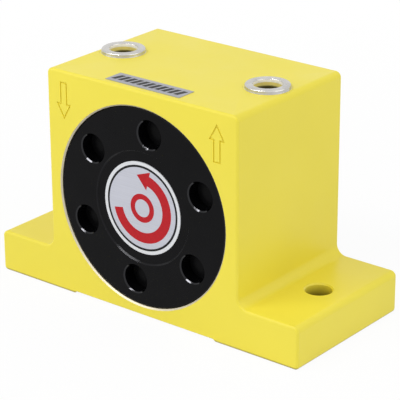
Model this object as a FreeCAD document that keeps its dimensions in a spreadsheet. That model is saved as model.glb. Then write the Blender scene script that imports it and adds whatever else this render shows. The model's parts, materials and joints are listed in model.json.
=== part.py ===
"""Pneumatic turbine vibration motor, as a parametric assembly.

A painted aluminium block in the form of an inverted T holds an unbalanced turbine
wheel on two ball bearings, behind two screwed-in covers. Air enters by the left port,
drives the wheel and leaves by the right port.

Frame: millimetres, +Z up, X along the feet, the labelled cover at the front (-Y).
Origin: the middle of the base, on the mounting face.

The block is laid out around the covers: walls of named thickness lie beside, above and
below their bore, and the feet reach out from the walls. With the sizes below it is
128 long, 56 deep and 80 high, with holes at 104 and the axis at 39.2.
"""
import FreeCAD, Part
import Sketcher
import math
import os

V = FreeCAD.Vector

# Driving dimensions, in millimetres and degrees; counts are plain numbers.
SIZES = [
    # Block
    ("housing_depth", 56),
    ("side_wall", 4.6),
    ("top_wall", 5.4),
    ("base_wall", 3.8),
    ("foot_thickness", 15),
    ("block_corner_radius", 2.2),
    ("foot_corner_radius", 2.2),
    ("inner_fillet_radius", 3.5),
    ("edge_round_radius", 0.6),
    ("base_relief_length", 62),
    ("base_relief_depth", 0.8),
    ("base_relief_slope", 1.2),
    ("foot_hole_offset", 12),
    ("foot_end_distance", 12),
    ("foot_hole_diameter", 9),
    ("foot_hole_chamfer", 0.5),
    # Bore and covers
    ("cover_diameter", 69.6),
    ("cover_clearance", 0.1),
    ("cover_recess", 0.6),
    ("cover_flange_thickness", 9.5),
    ("cover_edge_chamfer", 0.4),
    ("bore_chamfer", 0.5),
    ("label_recess_wall", 2.2),
    ("label_recess_depth", 0.5),
    ("cover_web_thickness", 2.3),
    ("boss_wall", 4.5),
    ("wrench_hole_count", 6),
    ("wrench_hole_diameter", 9.6),
    ("wrench_rim_wall", 3.6),
    ("wrench_hole_depth", 5),
    ("wrench_hole_angle", 22.5),
    ("wrench_hole_chamfer", 0.4),
    ("drill_point_depth", 1.2),
    ("oring_section", 1.8),
    ("oring_groove_play", 0.4),
    ("oring_squeeze_gap", 0.02),
    ("oring_groove_offset", 2.1),
    # Labels
    ("cover_label_margin", 3.3),
    ("cover_label_thickness", 0.3),
    ("top_label_length", 31),
    ("top_label_width", 7.7),
    ("top_label_thickness", 0.15),
    ("top_label_shift", -0.8),
    ("top_label_edge_distance", 2.4),
    # Ports
    ("port_inset", 1.8),
    ("port_bush_diameter", 16.2),
    ("port_bush_length", 12.4),
    ("port_bush_rise", 1.4),
    ("port_bush_edge", 0.6),
    ("port_thread_minor_diameter", 8.566),
    ("port_mouth_chamfer", 0.8),
    ("port_seat_clearance", 0.02),
    ("passage_diameter", 8),
    ("passage_end_rise", 5.8),
    ("nozzle_seat_drop", 9),
    ("nozzle_seat_ledge", 1.4),
    ("nozzle_length", 8),
    ("nozzle_bore", 3.2),
    ("nozzle_cone_depth", 3),
    ("nozzle_rim", 0.58),
    # Bearings
    ("bearing_bore", 12),
    ("bearing_outside_diameter", 32),
    ("bearing_width", 10),
    ("ball_diameter", 5.95),
    ("ball_count", 7),
    ("race_clearance", 0.025),
    ("shoulder_offset", 1.7),
    ("cage_thickness", 1.6),
    ("cage_side_clearance", 0.4),
    ("cage_pocket_clearance", 0.075),
    ("bearing_edge_chamfer", 0.6),
    ("seal_thickness", 0.7),
    ("seal_inset", 0.2),
    ("seal_seat_depth", 0.5),
    ("seal_lip_clearance", 0.1),
    ("fit_clearance", 0.02),
    ("preload_height", 1.2),
    ("preload_ring_wall", 1.8),
    ("preload_side_clearance", 0.3),
    ("spring_thickness", 0.4),
    ("spring_wave_count", 3),
    # Rotor
    ("cover_seat_ledge", 2.6),
    ("rotor_tip_clearance", 0.6),
    ("rotor_side_clearance", 1.1),
    ("rotor_boss_clearance", 1.0),
    ("bucket_count", 24),
    ("bucket_depth", 4),
    ("bucket_span", 6.4),
    ("bucket_back_radius", 6),
    ("bucket_width", 18),
    ("hub_recess_clearance", 1.38),
    ("hub_recess_depth", 1.2),
    ("slug_count", 3),
    ("slug_diameter", 9),
    ("slug_wall", 0.6),
    ("slug_spread_angle", 104),
    ("slug_inset", 0.2),
    ("lightening_hole_diameter", 4.2),
    ("lightening_hole_count", 5),
    ("lightening_spread_angle", 100),
    # Shaft
    ("shaft_diameter", 16),
    ("shaft_end_chamfer", 0.5),
    ("shaft_end_inset", 0.4),
    ("key_width", 5),
    ("key_height", 5),
    ("key_end_distance", 3.4),
    ("key_seat_depth", 3),
    ("key_top_clearance", 0.3),
    ("circlip_thickness", 1),
    ("circlip_wall", 2.1),
    ("circlip_groove_depth", 0.5),
    ("circlip_side_clearance", 0.04),
    ("circlip_gap", 5),
]

# Values that follow from the driving dimensions, outward from the middle plane.
DERIVED = [
    ("half_depth", "Sizes.housing_depth / 2"),
    ("cover_radius", "Sizes.cover_diameter / 2"),
    ("bore_radius", "cover_radius + Sizes.cover_clearance"),
    ("bore_mouth_radius", "bore_radius + Sizes.bore_chamfer"),
    ("chamber_radius", "bore_radius - Sizes.cover_seat_ledge"),
    ("axis_height", "Sizes.base_wall + bore_mouth_radius"),
    ("block_height", "axis_height + bore_mouth_radius + Sizes.top_wall"),
    ("half_width", "bore_mouth_radius + Sizes.side_wall"),
    ("foot_hole_x", "half_width + Sizes.foot_hole_offset"),
    ("half_length", "foot_hole_x + Sizes.foot_end_distance"),
    ("relief_half", "Sizes.base_relief_length / 2"),
    ("relief_top_half", "relief_half - Sizes.base_relief_slope"),
    ("foot_hole_edge", "foot_hole_x + Sizes.foot_hole_diameter / 2"),
    ("foot_hole_mouth", "foot_hole_edge + Sizes.foot_hole_chamfer"),
    ("foot_hole_chamfer_foot", "Sizes.foot_thickness - Sizes.foot_hole_chamfer"),
    # Covers and bore
    ("bore_mouth_inner", "half_depth - Sizes.bore_chamfer"),
    ("cover_face", "half_depth - Sizes.cover_recess"),
    ("cover_chamfer_face", "cover_face - Sizes.cover_edge_chamfer"),
    ("cover_chamfer_radius", "cover_radius - Sizes.cover_edge_chamfer"),
    ("flange_face", "cover_face - Sizes.cover_flange_thickness"),
    ("wrench_edge", "cover_radius - Sizes.wrench_rim_wall"),
    ("wrench_x", "wrench_edge - Sizes.wrench_hole_diameter / 2"),
    ("label_recess_radius",
     "wrench_x - Sizes.wrench_hole_diameter / 2 - Sizes.label_recess_wall"),
    ("label_recess_rim", "label_recess_radius + Sizes.label_recess_depth"),
    ("label_face", "cover_face - Sizes.label_recess_depth"),
    ("pocket_floor", "label_face - Sizes.cover_web_thickness"),
    ("bearing_outer_face", "pocket_floor - Sizes.preload_height"),
    ("bearing_centre", "bearing_outer_face - Sizes.bearing_width / 2"),
    ("bearing_inner_face", "bearing_outer_face - Sizes.bearing_width"),
    ("bearing_seat_radius", "Sizes.bearing_outside_diameter / 2 + Sizes.fit_clearance"),
    ("boss_radius", "Sizes.bearing_outside_diameter / 2 + Sizes.boss_wall"),
    ("wrench_mouth", "wrench_edge + Sizes.wrench_hole_chamfer"),
    ("wrench_chamfer_face", "cover_face - Sizes.wrench_hole_chamfer"),
    ("wrench_floor", "cover_face - Sizes.wrench_hole_depth"),
    ("wrench_point", "wrench_floor - Sizes.drill_point_depth"),
    ("groove_inner", "flange_face + Sizes.oring_groove_offset"),
    ("groove_outer", "groove_inner + Sizes.oring_section + Sizes.oring_groove_play"),
    ("oring_centre", "(groove_inner + groove_outer) / 2"),
    ("oring_minor", "Sizes.oring_section / 2"),
    ("oring_major", "bore_radius - Sizes.oring_squeeze_gap - oring_minor"),
    ("groove_radius", "oring_major - oring_minor - Sizes.oring_squeeze_gap"),
    # Labels
    ("cover_label_radius", "label_recess_radius - Sizes.cover_label_margin"),
    # Ports
    ("port_x", "chamber_radius - Sizes.port_inset"),
    ("bush_radius", "Sizes.port_bush_diameter / 2"),
    ("bush_seat_radius", "bush_radius + Sizes.port_seat_clearance"),
    ("bush_seat_edge", "port_x + bush_seat_radius"),
    ("bush_top", "block_height + Sizes.port_bush_rise"),
    ("bush_floor", "bush_top - Sizes.port_bush_length"),
    ("bush_edge_radius", "bush_radius - Sizes.port_bush_edge"),
    ("bush_edge_height", "bush_top - Sizes.port_bush_edge"),
    ("thread_radius", "Sizes.port_thread_minor_diameter / 2"),
    ("thread_mouth_radius", "thread_radius + Sizes.port_mouth_chamfer"),
    ("thread_mouth_height", "bush_top - Sizes.port_mouth_chamfer"),
    ("passage_edge", "port_x + Sizes.passage_diameter / 2"),
    ("nozzle_bore_radius", "Sizes.nozzle_bore / 2"),
    ("passage_end_height", "axis_height + Sizes.passage_end_rise"),
    ("nozzle_seat_edge", "passage_edge - Sizes.nozzle_seat_ledge"),
    ("nozzle_seat_height", "bush_floor - Sizes.nozzle_seat_drop"),
    ("nozzle_radius", "Sizes.passage_diameter / 2 - Sizes.port_seat_clearance"),
    ("nozzle_cone_radius", "nozzle_radius - Sizes.nozzle_rim"),
    ("nozzle_top", "nozzle_seat_height + Sizes.nozzle_length"),
    ("nozzle_cone_foot", "nozzle_top - Sizes.nozzle_cone_depth"),
    # Bearings, each measured from its own middle plane
    ("bearing_half", "Sizes.bearing_width / 2"),
    ("bearing_chamfer_face", "bearing_half - Sizes.bearing_edge_chamfer"),
    ("outer_ring_radius", "Sizes.bearing_outside_diameter / 2"),
    ("outer_ring_chamfer_radius", "outer_ring_radius - Sizes.bearing_edge_chamfer"),
    ("inner_ring_bore_radius", "Sizes.bearing_bore / 2"),
    ("pitch_radius", "(inner_ring_bore_radius + outer_ring_radius) / 2"),
    ("outer_shoulder_radius", "pitch_radius + Sizes.shoulder_offset"),
    ("inner_shoulder_radius", "pitch_radius - Sizes.shoulder_offset"),
    ("seal_seat_radius", "outer_shoulder_radius + Sizes.seal_seat_depth"),
    ("seal_outer_face", "bearing_half - Sizes.seal_inset"),
    ("seal_inner_face", "seal_outer_face - Sizes.seal_thickness"),
    ("seal_radius", "seal_seat_radius - Sizes.fit_clearance"),
    ("inner_ring_chamfer_radius", "inner_ring_bore_radius + Sizes.bearing_edge_chamfer"),
    ("seal_lip_radius", "inner_shoulder_radius + Sizes.seal_lip_clearance"),
    ("ball_radius", "Sizes.ball_diameter / 2"),
    ("race_radius", "ball_radius + Sizes.race_clearance"),
    ("cage_outer_radius", "pitch_radius + Sizes.cage_thickness / 2"),
    ("cage_inner_radius", "pitch_radius - Sizes.cage_thickness / 2"),
    ("cage_half", "seal_inner_face - Sizes.cage_side_clearance"),
    ("cage_pocket_radius", "ball_radius + Sizes.cage_pocket_clearance"),
    ("preload_outer_radius", "outer_ring_radius - Sizes.preload_side_clearance"),
    ("preload_inner_radius", "preload_outer_radius - Sizes.preload_ring_wall"),
    # Rotor, from the cover bosses inward
    ("tip_radius", "chamber_radius - Sizes.rotor_tip_clearance"),
    ("bucket_root_radius", "tip_radius - Sizes.bucket_depth"),
    ("bucket_open_radius", "tip_radius + Sizes.bucket_depth / 4"),
    ("rim_half", "flange_face - Sizes.rotor_side_clearance"),
    ("rim_inner_radius", "boss_radius + Sizes.rotor_boss_clearance"),
    ("web_half", "bearing_inner_face - Sizes.rotor_boss_clearance"),
    ("hub_half", "web_half - Sizes.hub_recess_depth"),
    ("shaft_radius", "Sizes.shaft_diameter / 2"),
    ("hub_bore_radius", "shaft_radius + Sizes.fit_clearance"),
    ("slug_radius", "Sizes.slug_diameter / 2"),
    ("slug_bore_radius", "slug_radius + Sizes.fit_clearance"),
    ("slug_circle_radius", "rim_inner_radius - slug_bore_radius - Sizes.slug_wall"),
    ("slug_length", "2 * (hub_half - Sizes.slug_inset)"),
    ("slug_start_x", "slug_circle_radius * sin(Sizes.slug_spread_angle * 1deg / 2)"),
    ("slug_start_z", "slug_circle_radius * cos(Sizes.slug_spread_angle * 1deg / 2)"),
    ("lightening_radius", "Sizes.lightening_hole_diameter / 2"),
    ("lightening_circle_radius", "(rim_inner_radius + bucket_root_radius) / 2"),
    ("lightening_start_x",
     "lightening_circle_radius * sin(Sizes.lightening_spread_angle * 1deg / 2)"),
    ("lightening_start_z",
     "lightening_circle_radius * cos(Sizes.lightening_spread_angle * 1deg / 2)"),
    # Shaft, key and circlips
    ("journal_radius", "inner_ring_bore_radius - Sizes.fit_clearance"),
    ("shaft_end", "bearing_outer_face - Sizes.shaft_end_inset"),
    ("shaft_chamfer_face", "shaft_end - Sizes.shaft_end_chamfer"),
    ("shaft_chamfer_radius", "journal_radius - Sizes.shaft_end_chamfer"),
    ("circlip_start", "hub_half + Sizes.circlip_side_clearance / 2"),
    ("circlip_groove_end", "hub_half + Sizes.circlip_thickness + Sizes.circlip_side_clearance"),
    ("circlip_groove_radius", "shaft_radius - Sizes.circlip_groove_depth"),
    ("circlip_inner_radius", "circlip_groove_radius + Sizes.fit_clearance"),
    ("circlip_outer_radius", "circlip_inner_radius + Sizes.circlip_wall"),
    ("hub_recess_radius", "circlip_outer_radius + Sizes.hub_recess_clearance"),
    ("key_length", "2 * (hub_half - Sizes.key_end_distance)"),
    ("key_bottom", "shaft_radius - Sizes.key_seat_depth"),
    ("key_half_width", "Sizes.key_width / 2"),
    ("keyway_top", "key_bottom + Sizes.key_height + Sizes.key_top_clearance"),
]

doc = FreeCAD.newDocument("TurbineVibrator")


def fill_sheet(name, rows):
    """A spreadsheet with a name beside each value, the value's cell bearing it as alias."""
    sheet = doc.addObject("Spreadsheet::Sheet", name)
    for row, (alias, content) in enumerate(rows, start=1):
        sheet.set(f"A{row}", alias)
        sheet.set(f"B{row}", str(content))
        sheet.setAlias(f"B{row}", alias)
    doc.recompute()
    return sheet


sizes = fill_sheet("Sizes", SIZES)
derived = fill_sheet("Derived", [(alias, "=" + formula) for alias, formula in DERIVED])

SIZE_NAMES = {alias for alias, content in SIZES}


def expression(name):
    """The expression for a named value, which may begin with a minus sign."""
    sign = "-" if name.startswith("-") else ""
    plain = name.lstrip("-")
    sheet_name = "Sizes" if plain in SIZE_NAMES else "Derived"
    return f"{sign}{sheet_name}.{plain}"


def value(name):
    """The number behind a named value; the name 0 is zero."""
    if name == "0":
        return 0.0
    plain = name.lstrip("-")
    sheet = sizes if plain in SIZE_NAMES else derived
    number = float(sheet.get(plain))
    return -number if name.startswith("-") else number


def bind(obj, **properties):
    """Bind properties such as Length, or Placement_Base_z, to named values."""
    for path, name in properties.items():
        obj.setExpression(path.replace("_", "."), expression(name))


def new_body(label):
    body = doc.addObject("PartDesign::Body", label)
    body.Label = label
    return body


def origin_part(body, role):
    return next(part for part in body.Origin.OriginFeatures if part.Role == role)


def new_sketch(body, name, role, lift=None):
    """A sketch on an origin plane, lifted off it by a named value where one is given."""
    sketch = body.newObject("Sketcher::SketchObject", name)
    sketch.AttachmentSupport = [(origin_part(body, role), "")]
    sketch.MapMode = "FlatFace"
    if lift:
        sketch.AttachmentOffset = FreeCAD.Placement(V(0, 0, value(lift)), FreeCAD.Rotation())
        sketch.setExpression("AttachmentOffset.Base.z", expression(lift))
    return sketch


def pin_point(sketch, geometry, corner, x_name, y_name):
    """Hold a sketch point at named coordinates from the sketch's origin."""
    for kind, name, axis in (("DistanceX", x_name, -2), ("DistanceY", y_name, -1)):
        if name == "0":
            sketch.addConstraint(Sketcher.Constraint("PointOnObject", geometry, corner, axis))
        else:
            index = sketch.addConstraint(
                Sketcher.Constraint(kind, -1, 1, geometry, corner, value(name)))
            sketch.setExpression(f"Constraints[{index}]", expression(name))


def bulging_arc(start, end, radius):
    """The arc from start to end that bulges out of an outline drawn counterclockwise."""
    chord = end - start
    to_centre = (radius ** 2 - (chord.Length / 2) ** 2) ** 0.5
    centre = (start + end) / 2 + V(-chord.y, chord.x, 0).normalize() * to_centre
    first = math.atan2(start.y - centre.y, start.x - centre.x)
    last = math.atan2(end.y - centre.y, end.x - centre.x)
    return Part.ArcOfCircle(Part.Circle(centre, V(0, 0, 1), radius), first, last)


def outline_sketch(body, name, role, points, lift=None, axis_x=None, arcs=None):
    """A closed outline through named points. arcs maps the number of a side to the named
    radius of the arc in its place, and axis_x puts a construction axis at that x."""
    sketch = new_sketch(body, name, role, lift)
    arcs = arcs or {}
    places = [V(value(x), value(y), 0) for x, y in points]
    count = len(points)
    for side in range(count):
        start, end = places[side], places[(side + 1) % count]
        if side in arcs:
            sketch.addGeometry(bulging_arc(start, end, value(arcs[side])), False)
        else:
            sketch.addGeometry(Part.LineSegment(start, end), False)
    for side in range(count):
        following = (side + 1) % count
        sketch.addConstraint(Sketcher.Constraint("Coincident", side, 2, following, 1))
        pin_point(sketch, following, 1, *points[following])
    for side, radius_name in arcs.items():
        index = sketch.addConstraint(Sketcher.Constraint("Radius", side, value(radius_name)))
        sketch.setExpression(f"Constraints[{index}]", expression(radius_name))
    if axis_x:
        low, high = V(value(axis_x), 0, 0), V(value(axis_x), value("axis_height"), 0)
        axis = sketch.addGeometry(Part.LineSegment(low, high), True)
        pin_point(sketch, axis, 1, axis_x, "0")
        pin_point(sketch, axis, 2, axis_x, "axis_height")
    return sketch


def circle_sketch(body, name, role, x_name, y_name, radius_name, lift=None):
    sketch = new_sketch(body, name, role, lift)
    centre = V(value(x_name), value(y_name), 0)
    sketch.addGeometry(Part.Circle(centre, V(0, 0, 1), value(radius_name)), False)
    index = sketch.addConstraint(Sketcher.Constraint("Radius", 0, value(radius_name)))
    sketch.setExpression(f"Constraints[{index}]", expression(radius_name))
    if x_name == "0" and y_name == "0":
        sketch.addConstraint(Sketcher.Constraint("Coincident", 0, 3, -1, 1))
    else:
        pin_point(sketch, 0, 3, x_name, y_name)
    return sketch


def revolve(body, name, sketch):
    """Turn a half section about the sketch's vertical axis."""
    feature = body.newObject("PartDesign::Revolution", name)
    feature.Profile = sketch
    feature.ReferenceAxis = (sketch, ["V_Axis"])
    feature.Angle = 360
    doc.recompute()
    return feature


def cut_volume(body, feature, before):
    """Stop where a cut has taken nothing away."""
    doc.recompute()
    if body.Shape.Volume > before - 1e-3:
        raise RuntimeError(f"{body.Label}: {feature.Name} cuts nothing")
    return feature


def groove(body, name, sketch, axis="V_Axis"):
    """Turn an outline about an axis of its sketch and take it away."""
    before = body.Shape.Volume
    feature = body.newObject("PartDesign::Groove", name)
    feature.Profile = sketch
    feature.ReferenceAxis = (sketch, [axis])
    feature.Angle = 360
    return cut_volume(body, feature, before)


def pocket(body, name, sketch, length_name=None, reversed_side=False):
    """Cut both ways by a named length, or through everything on one side."""
    before = body.Shape.Volume
    feature = body.newObject("PartDesign::Pocket", name)
    feature.Profile = sketch
    if length_name:
        feature.SideType = "Symmetric"
        feature.setExpression("Length", expression(length_name))
    else:
        feature.Type = "ThroughAll"
        feature.Reversed = reversed_side
    return cut_volume(body, feature, before)


def pattern(body, name, original, count_name, angle_name=None):
    """Repeat a feature about the Y axis, evenly over a full turn or over a named angle."""
    before = body.Shape.Volume
    feature = body.newObject("PartDesign::PolarPattern", name)
    feature.Originals = [original]
    feature.Axis = (origin_part(body, "Y_Axis"), [""])
    feature.Angle = 360
    if angle_name:
        feature.setExpression("Angle", expression(angle_name))
    feature.setExpression("Occurrences", expression(count_name))
    body.Tip = feature
    return cut_volume(body, feature, before)


def fan(body, name, x_name, z_name, radius_name, count_name, spread_name):
    """Through holes spread over a named angle, from a named first place."""
    section = circle_sketch(body, name + "Section", "XZ_Plane", x_name, z_name, radius_name)
    first = pocket(body, name, section, "housing_depth")
    pattern(body, name + "s", first, count_name, spread_name)


def round_edges(body, name, radius_name, chosen):
    """Round the edges that a test picks out of the body's present shape."""
    doc.recompute()
    base = body.Tip
    names = [f"Edge{number}" for number, edge in enumerate(base.Shape.Edges, start=1)
             if chosen(edge)]
    feature = body.newObject("PartDesign::Fillet", name)
    feature.Base = (base, names)
    feature.setExpression("Radius", expression(radius_name))
    doc.recompute()
    return feature


def lies_at(edge, x_name, z_name):
    """True for an edge along the depth that stands at the named x, either side, and z."""
    near = all(abs(abs(vertex.X) - value(x_name)) < 0.01 and abs(vertex.Z - value(z_name)) < 0.01
               for vertex in edge.Vertexes)
    return near and edge.Vertexes[0].Y != edge.Vertexes[-1].Y


def make_housing():
    body = new_body("housing")
    right_half = [
        ("relief_top_half", "base_relief_depth"), ("relief_half", "0"), ("half_length", "0"),
        ("half_length", "foot_thickness"), ("half_width", "foot_thickness"),
        ("half_width", "block_height"),
    ]
    left_half = [("-" + x, z) for x, z in reversed(right_half)]
    profile = outline_sketch(body, "BlockProfile", "XZ_Plane", right_half + left_half)
    block = body.newObject("PartDesign::Pad", "Block")
    block.Profile = profile
    block.SideType = "Symmetric"
    block.setExpression("Length", expression("housing_depth"))
    doc.recompute()

    round_edges(body, "BlockCorners", "block_corner_radius",
                lambda edge: lies_at(edge, "half_width", "block_height"))
    round_edges(body, "FootCorners", "foot_corner_radius",
                lambda edge: lies_at(edge, "half_length", "foot_thickness"))
    round_edges(body, "InnerFillets", "inner_fillet_radius",
                lambda edge: lies_at(edge, "half_width", "foot_thickness"))
    round_edges(body, "FaceEdges", "edge_round_radius",
                lambda edge: all(abs(abs(vertex.Y) - value("half_depth")) < 0.01
                                 for vertex in edge.Vertexes)
                and abs(edge.Vertexes[0].Y - edge.Vertexes[-1].Y) < 0.01)

    bore_half = [
        ("bore_mouth_radius", "half_depth"), ("bore_radius", "bore_mouth_inner"),
        ("bore_radius", "flange_face"), ("chamber_radius", "flange_face"),
        ("chamber_radius", "-flange_face"), ("bore_radius", "-flange_face"),
        ("bore_radius", "-bore_mouth_inner"), ("bore_mouth_radius", "-half_depth"),
        ("0", "-half_depth"), ("0", "half_depth"),
    ]
    bore = outline_sketch(body, "BoreSection", "XY_Plane", bore_half, lift="axis_height")
    groove(body, "Bore", bore)

    for side in ("", "-"):
        tag = "Right" if side == "" else "Left"
        hole_edge = [
            (side + "foot_hole_x", "0"), (side + "foot_hole_edge", "0"),
            (side + "foot_hole_edge", "foot_hole_chamfer_foot"),
            (side + "foot_hole_mouth", "foot_thickness"), (side + "foot_hole_x", "foot_thickness"),
        ]
        hole = outline_sketch(body, tag + "FootHoleSection", "XZ_Plane", hole_edge,
                              axis_x=side + "foot_hole_x")
        groove(body, tag + "FootHole", hole, "Axis0")

    # The inlet on the left narrows below the nozzle, the outlet keeps its width.
    for side, tag, low_edge in (("-", "Inlet", "nozzle_seat_edge"), ("", "Outlet", "passage_edge")):
        seat = "nozzle_seat_height" if tag == "Inlet" else None
        steps = [(side + "port_x", "block_height"), (side + "bush_seat_edge", "block_height"),
                 (side + "bush_seat_edge", "bush_floor"), (side + "passage_edge", "bush_floor")]
        if seat:
            steps += [(side + "passage_edge", seat), (side + low_edge, seat)]
        steps += [(side + low_edge, "passage_end_height"), (side + "port_x", "passage_end_height")]
        passage = outline_sketch(body, tag + "Section", "XZ_Plane", steps, axis_x=side + "port_x")
        groove(body, tag, passage, "Axis0")
    return body


def make_cover(label, turned):
    """A screwed-in cover, drawn with its outer face towards -Y."""
    body = new_body(label)
    half_section = [
        ("0", "-label_face"), ("label_recess_radius", "-label_face"),
        ("label_recess_rim", "-cover_face"), ("cover_chamfer_radius", "-cover_face"),
        ("cover_radius", "-cover_chamfer_face"), ("cover_radius", "-groove_outer"),
        ("groove_radius", "-groove_outer"), ("groove_radius", "-groove_inner"),
        ("cover_radius", "-groove_inner"), ("cover_radius", "-flange_face"),
        ("boss_radius", "-flange_face"), ("boss_radius", "-bearing_inner_face"),
        ("bearing_seat_radius", "-bearing_inner_face"), ("bearing_seat_radius", "-pocket_floor"),
        ("0", "-pocket_floor"),
    ]
    revolve(body, label + "_disc", outline_sketch(body, label + "_section", "XY_Plane", half_section))
    hole_section = [
        ("wrench_x", "-cover_face"), ("wrench_mouth", "-cover_face"),
        ("wrench_edge", "-wrench_chamfer_face"), ("wrench_edge", "-wrench_floor"),
        ("wrench_x", "-wrench_point"),
    ]
    drilled = outline_sketch(body, label + "_hole_section", "XY_Plane", hole_section,
                             axis_x="wrench_x")
    hole = groove(body, label + "_hole", drilled, "Axis0")
    pattern(body, label + "_holes", hole, "wrench_hole_count")
    if turned:
        body.Placement.Rotation = FreeCAD.Rotation(V(0, 0, 1), 180)
    else:
        body.Placement.Rotation = FreeCAD.Rotation(V(0, 1, 0), -value("wrench_hole_angle"))
        body.setExpression("Placement.Rotation.Angle", expression("-wrench_hole_angle"))
    bind(body, Placement_Base_z="axis_height")
    return body


def make_oring(label, side):
    ring = doc.addObject("Part::Torus", label)
    ring.Label = label
    bind(ring, Radius1="oring_major", Radius2="oring_minor",
         Placement_Base_y=side + "oring_centre", Placement_Base_z="axis_height")
    ring.Placement.Rotation = FreeCAD.Rotation(V(1, 0, 0), 90)
    return ring


def make_turned(label, half_section, z_name=None, x_name=None, y_name=None, role="XY_Plane"):
    """A turned piece from its half section, set at named places."""
    body = new_body(label)
    revolve(body, label + "_turned", outline_sketch(body, label + "_section", role, half_section))
    for path, name in (("Placement.Base.x", x_name), ("Placement.Base.y", y_name),
                       ("Placement.Base.z", z_name)):
        if name:
            body.setExpression(path, expression(name))
    return body


def make_port_bush(label, side):
    half_section = [
        ("thread_radius", "bush_floor"), ("bush_radius", "bush_floor"),
        ("bush_radius", "bush_edge_height"), ("bush_edge_radius", "bush_top"),
        ("thread_mouth_radius", "bush_top"), ("thread_radius", "thread_mouth_height"),
    ]
    return make_turned(label, half_section, x_name=side + "port_x", role="XZ_Plane")


def make_air_nozzle():
    half_section = [
        ("nozzle_bore_radius", "nozzle_seat_height"), ("nozzle_radius", "nozzle_seat_height"),
        ("nozzle_radius", "nozzle_top"), ("nozzle_cone_radius", "nozzle_top"),
        ("nozzle_bore_radius", "nozzle_cone_foot"),
    ]
    return make_turned("air_nozzle", half_section, x_name="-port_x", role="XZ_Plane")


def make_labels():
    disc = doc.addObject("Part::Cylinder", "label_disc")
    disc.Label = "label_disc"
    disc.Placement.Rotation = FreeCAD.Rotation(V(1, 0, 0), 90)
    bind(disc, Radius="cover_label_radius", Height="cover_label_thickness",
         Placement_Base_y="-label_face", Placement_Base_z="axis_height")

    strip = doc.addObject("Part::Box", "top_label")
    strip.Label = "top_label"
    bind(strip, Length="top_label_length", Width="top_label_width", Height="top_label_thickness",
         Placement_Base_z="block_height")
    strip.setExpression("Placement.Base.x", "Sizes.top_label_shift - Sizes.top_label_length / 2")
    strip.setExpression("Placement.Base.y", "Sizes.top_label_edge_distance - Derived.half_depth")


def make_bearing(name, side):
    """One deep-groove ball bearing, drawn about its own middle plane and set on the axis."""
    place = {"y_name": side + "bearing_centre", "z_name": "axis_height"}

    outer = make_turned(name + "_bearing_outer_ring", [
        ("outer_ring_radius", "-bearing_chamfer_face"), ("outer_ring_radius", "bearing_chamfer_face"),
        ("outer_ring_chamfer_radius", "bearing_half"), ("seal_seat_radius", "bearing_half"),
        ("seal_seat_radius", "seal_inner_face"), ("outer_shoulder_radius", "seal_inner_face"),
        ("outer_shoulder_radius", "-seal_inner_face"), ("seal_seat_radius", "-seal_inner_face"),
        ("seal_seat_radius", "-bearing_half"), ("outer_ring_chamfer_radius", "-bearing_half"),
    ], **place)
    inner = make_turned(name + "_bearing_inner_ring", [
        ("inner_shoulder_radius", "-bearing_half"), ("inner_shoulder_radius", "bearing_half"),
        ("inner_ring_chamfer_radius", "bearing_half"),
        ("inner_ring_bore_radius", "bearing_chamfer_face"),
        ("inner_ring_bore_radius", "-bearing_chamfer_face"),
        ("inner_ring_chamfer_radius", "-bearing_half"),
    ], **place)
    for ring in (outer, inner):
        race = circle_sketch(ring, ring.Label + "_race_section", "XY_Plane",
                             "pitch_radius", "0", "race_radius")
        groove(ring, ring.Label + "_race", race)

    cage = make_turned(name + "_bearing_cage", [
        ("cage_inner_radius", "-cage_half"), ("cage_outer_radius", "-cage_half"),
        ("cage_outer_radius", "cage_half"), ("cage_inner_radius", "cage_half"),
    ], **place)
    window = circle_sketch(cage, name + "_window_section", "XY_Plane", "0", "0", "cage_pocket_radius")
    first = pocket(cage, name + "_window", window)
    pattern(cage, name + "_windows", first, "ball_count")

    # The first ball sits in the first window, and the others follow evenly.
    window_side = -1 if first.Reversed else 1
    balls = []
    for number in range(int(value("ball_count"))):
        ball = doc.addObject("Part::Sphere", f"{name}_ball_{number + 1}")
        turn = f"360deg * {number} / Sizes.ball_count"
        bind(ball, Radius="ball_radius")
        ball.setExpression("Placement.Base.x", f"Derived.pitch_radius * sin({turn})")
        ball.setExpression("Placement.Base.z", f"-{window_side} * Derived.pitch_radius * cos({turn})")
        balls.append(ball)
    group = doc.addObject("Part::Compound", name + "_bearing_balls")
    group.Label = name + "_bearing_balls"
    group.Links = balls
    bind(group, Placement_Base_y=side + "bearing_centre", Placement_Base_z="axis_height")

    plates = []
    for face, tag in (("", "outer"), ("-", "inner")):
        plates.append(make_turned(f"{name}_seal_{tag}", [
            ("seal_lip_radius", face + "seal_inner_face"), ("seal_radius", face + "seal_inner_face"),
            ("seal_radius", face + "seal_outer_face"), ("seal_lip_radius", face + "seal_outer_face"),
        ]))
    seals = doc.addObject("Part::Compound", name + "_bearing_seals")
    seals.Label = name + "_bearing_seals"
    seals.Links = plates
    bind(seals, Placement_Base_y=side + "bearing_centre", Placement_Base_z="axis_height")


def make_shim():
    return make_turned("front_bearing_shim", [
        ("preload_inner_radius", "-pocket_floor"), ("preload_outer_radius", "-pocket_floor"),
        ("preload_outer_radius", "-bearing_outer_face"),
        ("preload_inner_radius", "-bearing_outer_face"),
    ], z_name="axis_height")


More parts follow.
